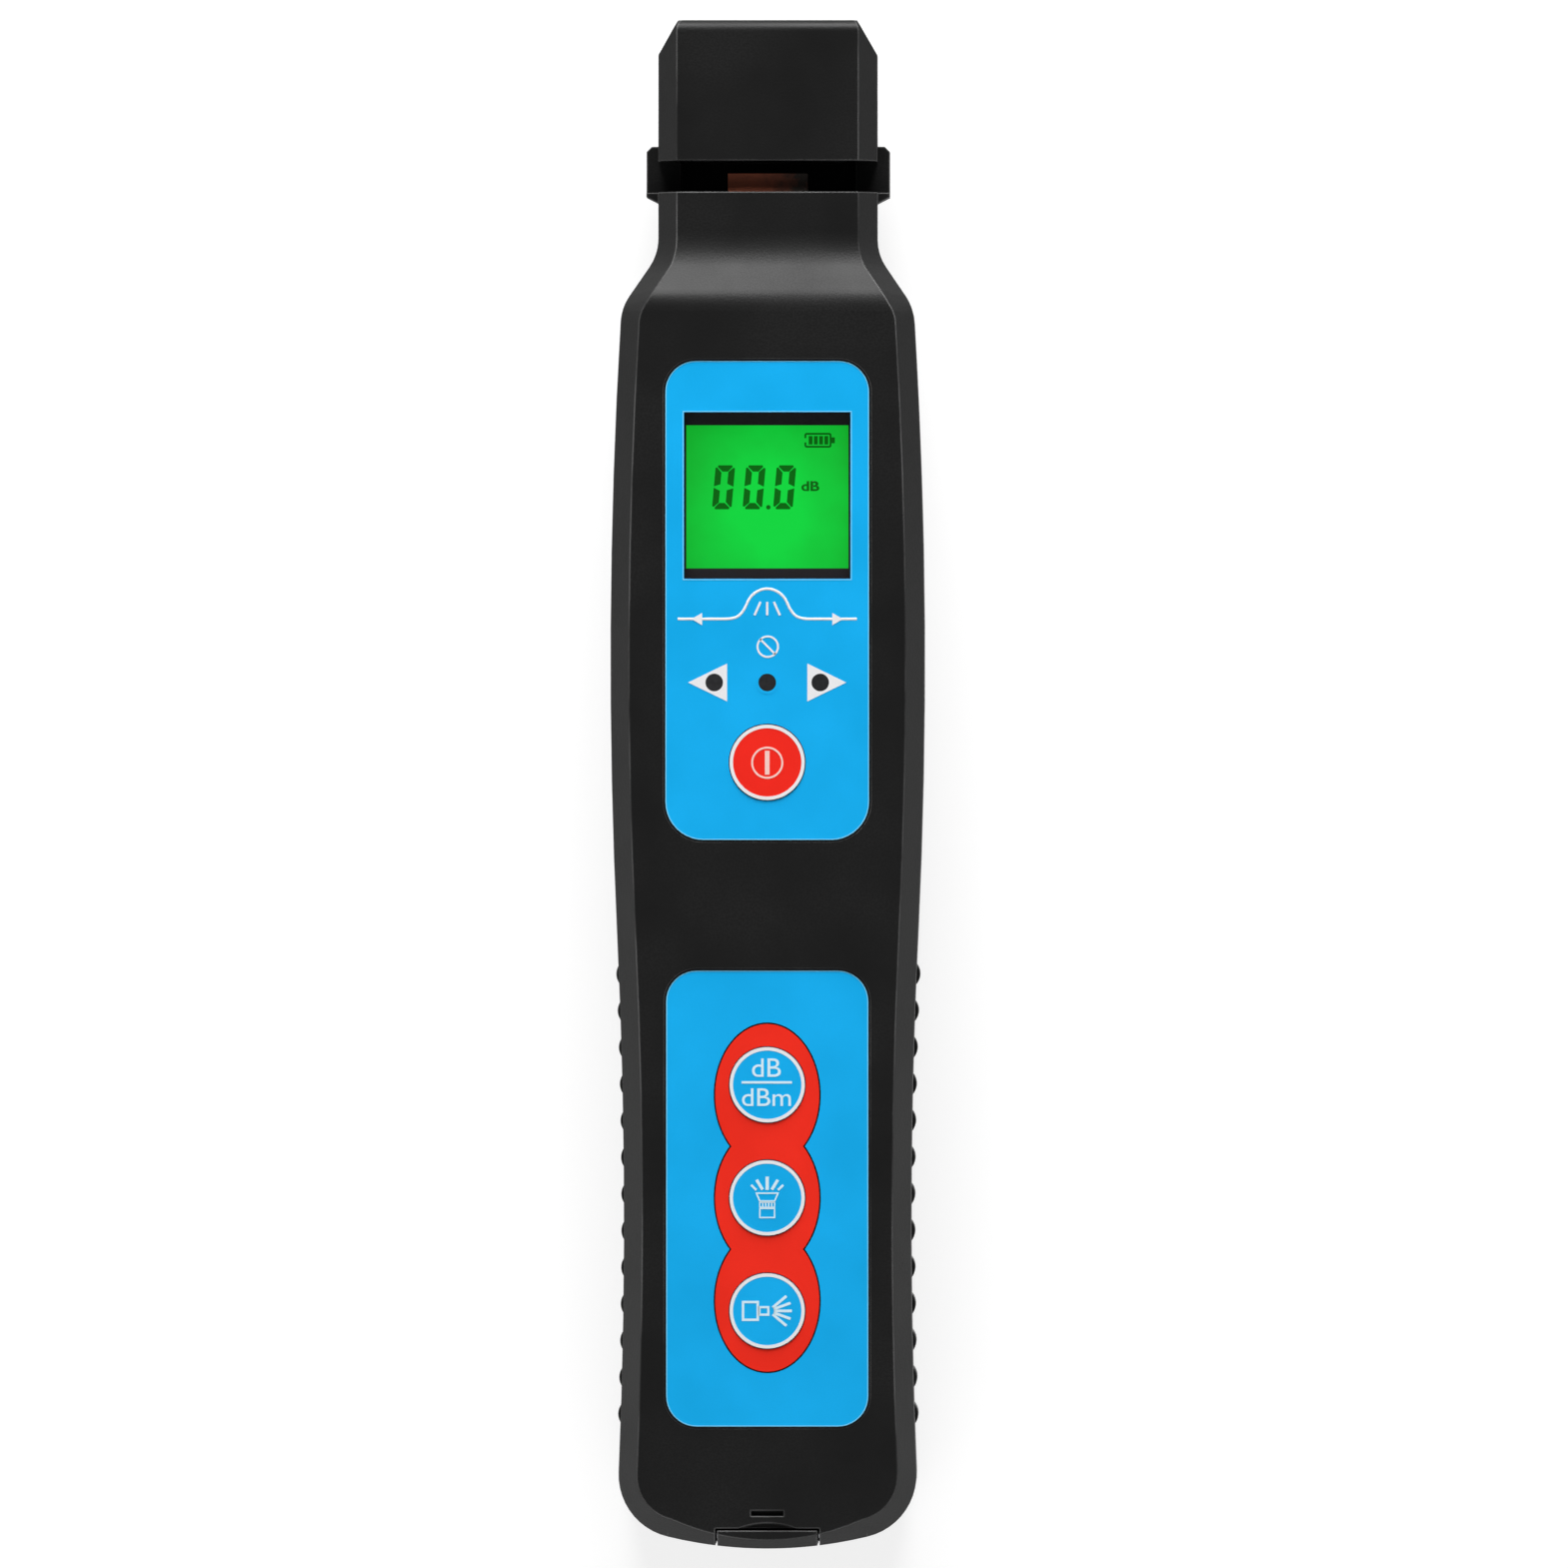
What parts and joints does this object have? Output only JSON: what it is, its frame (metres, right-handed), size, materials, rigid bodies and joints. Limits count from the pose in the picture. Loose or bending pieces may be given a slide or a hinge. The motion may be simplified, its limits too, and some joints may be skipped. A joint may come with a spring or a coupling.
{
  "type": "live optical fibre identifier",
  "caption": "Hand-held clamp-on fibre tester: slim black case with a fibre slot below its head, green digital display, indicator lamps, round keys, rear thumb slide and tail port flap.",
  "frame": {"origin": "middle of the flat back, on the plane the tester lies on", "axes": "+Y along the case towards the head, +Z out of the panel, +X to the right seen from the panel side"},
  "size_m": [0.042, 0.205, 0.0301],
  "materials": {
    "shell": "fine moulded texture, satin black",
    "panel": "printed polyester sheet, satin blue",
    "surround": "printed red",
    "key_red": "soft-touch key, red with white print",
    "key_blue": "soft-touch key, blue with white print",
    "window": "clear acrylic",
    "display": "green back-lit liquid crystal display",
    "backlight": "light plate",
    "holder": "moulded black",
    "board": "solder resist, green",
    "switch": "moulded black",
    "lamp": "smoked lamp body",
    "torch_lens": "clear lamp body",
    "battery": "printed metal can",
    "steel": "zinc-plated steel",
    "spring_steel": "bright spring wire",
    "port_metal": "nickel-plated bush",
    "laser_metal": "turned brass barrel",
    "optics": "optical black",
    "detector": "metal can",
    "adapter": "brown elastomer pad",
    "slider": "moulded acetal",
    "trigger": "moulded black"
  },
  "bodies": {
    "housing": {"front_shell": "shell", "rear_shell": "shell", "head_cover": "shell", "flap_pin": "steel", "tail_screws": "steel", "shoulder_screws": "steel", "head_screws": "steel", "board_screws": "steel", "upper_overlay": "panel", "lower_overlay": "panel", "key_surround": "surround", "display_window": "window", "lcd_module": "display", "backlight": "backlight", "lcd_frame": "holder", "main_board": "board", "tact_switches": "switch", "left_lamp": "lamp", "centre_lamp": "lamp", "right_lamp": "lamp", "battery": "battery", "battery_snap": "holder", "optical_block": "optics", "left_detector": "detector", "right_detector": "detector", "return_spring": "spring_steel", "laser_module": "laser_metal", "laser_port": "port_metal", "torch_led": "torch_lens"},
    "clamp": {"trigger": "trigger", "trigger_screw": "steel", "clamp_slider": "slider", "fibre_adapter": "adapter"},
    "power_key": {"power_key": "key_red"},
    "unit_key": {"unit_key": "key_blue"},
    "torch_key": {"torch_key": "key_blue"},
    "beam_key": {"beam_key": "key_blue"},
    "tail_flap": {"tail_flap": "shell"},
    "battery_door": {"battery_door": "shell"}
  },
  "joints": [
    {"name": "trigger_slide", "type": "slide", "parent": "housing", "child": "clamp", "axis": [0, -1, 0], "range_m": [0, 0.004], "stiffness_N_per_m": 400, "springref_m": -0.006, "deforming": ["return_spring"]},
    {"name": "power_key_press", "type": "slide", "parent": "housing", "child": "power_key", "axis": [0, 0, -1], "range_m": [0, 0.0004], "stiffness_N_per_m": 2000, "springref_m": -0.0002},
    {"name": "unit_key_press", "type": "slide", "parent": "housing", "child": "unit_key", "axis": [0, 0, -1], "range_m": [0, 0.0004], "stiffness_N_per_m": 2000, "springref_m": -0.0002},
    {"name": "torch_key_press", "type": "slide", "parent": "housing", "child": "torch_key", "axis": [0, 0, -1], "range_m": [0, 0.0004], "stiffness_N_per_m": 2000, "springref_m": -0.0002},
    {"name": "beam_key_press", "type": "slide", "parent": "housing", "child": "beam_key", "axis": [0, 0, -1], "range_m": [0, 0.0004], "stiffness_N_per_m": 2000, "springref_m": -0.0002},
    {"name": "tail_flap_hinge", "type": "hinge", "parent": "housing", "child": "tail_flap", "pos_m": [0, -0.101, 0.0056], "axis": [1, 0, 0], "range_deg": [0, 90]},
    {"name": "battery_door_lift", "type": "slide", "parent": "housing", "child": "battery_door", "axis": [0, 0, -1], "range_m": [0, 0.025]}
  ]
}
